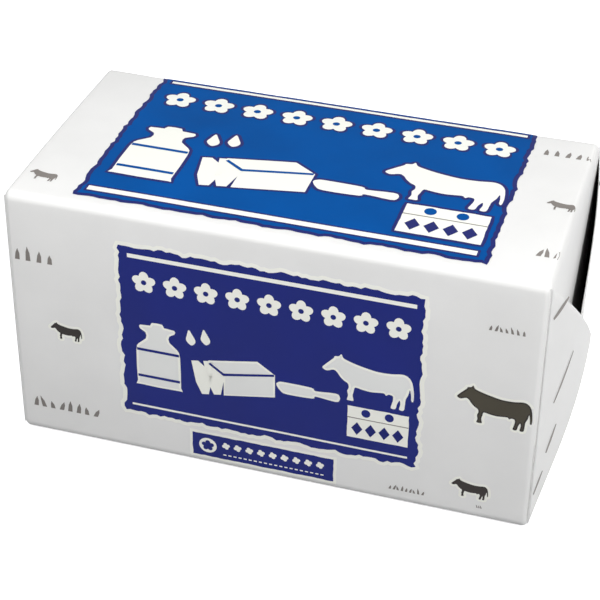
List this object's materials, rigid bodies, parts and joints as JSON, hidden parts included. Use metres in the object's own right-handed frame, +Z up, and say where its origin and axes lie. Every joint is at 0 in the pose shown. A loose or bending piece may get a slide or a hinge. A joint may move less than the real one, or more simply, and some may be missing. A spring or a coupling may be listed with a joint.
{
  "type": "wrapped butter block",
  "caption": "Brick of butter in a printed paper wrapper, its ends shut with envelope folds whose side ears stand slightly open.",
  "frame": {"origin": "under the middle of the block, on the surface that it rests on", "axes": "+X along the block, +Y from the front panel to the back panel, +Z up"},
  "size_m": [0.131, 0.062, 0.0645],
  "materials": {
    "wrapper": "satin",
    "print": "satin"
  },
  "bodies": {
    "root": {"wrapped_block": "wrapper"}
  },
  "joints": []
}
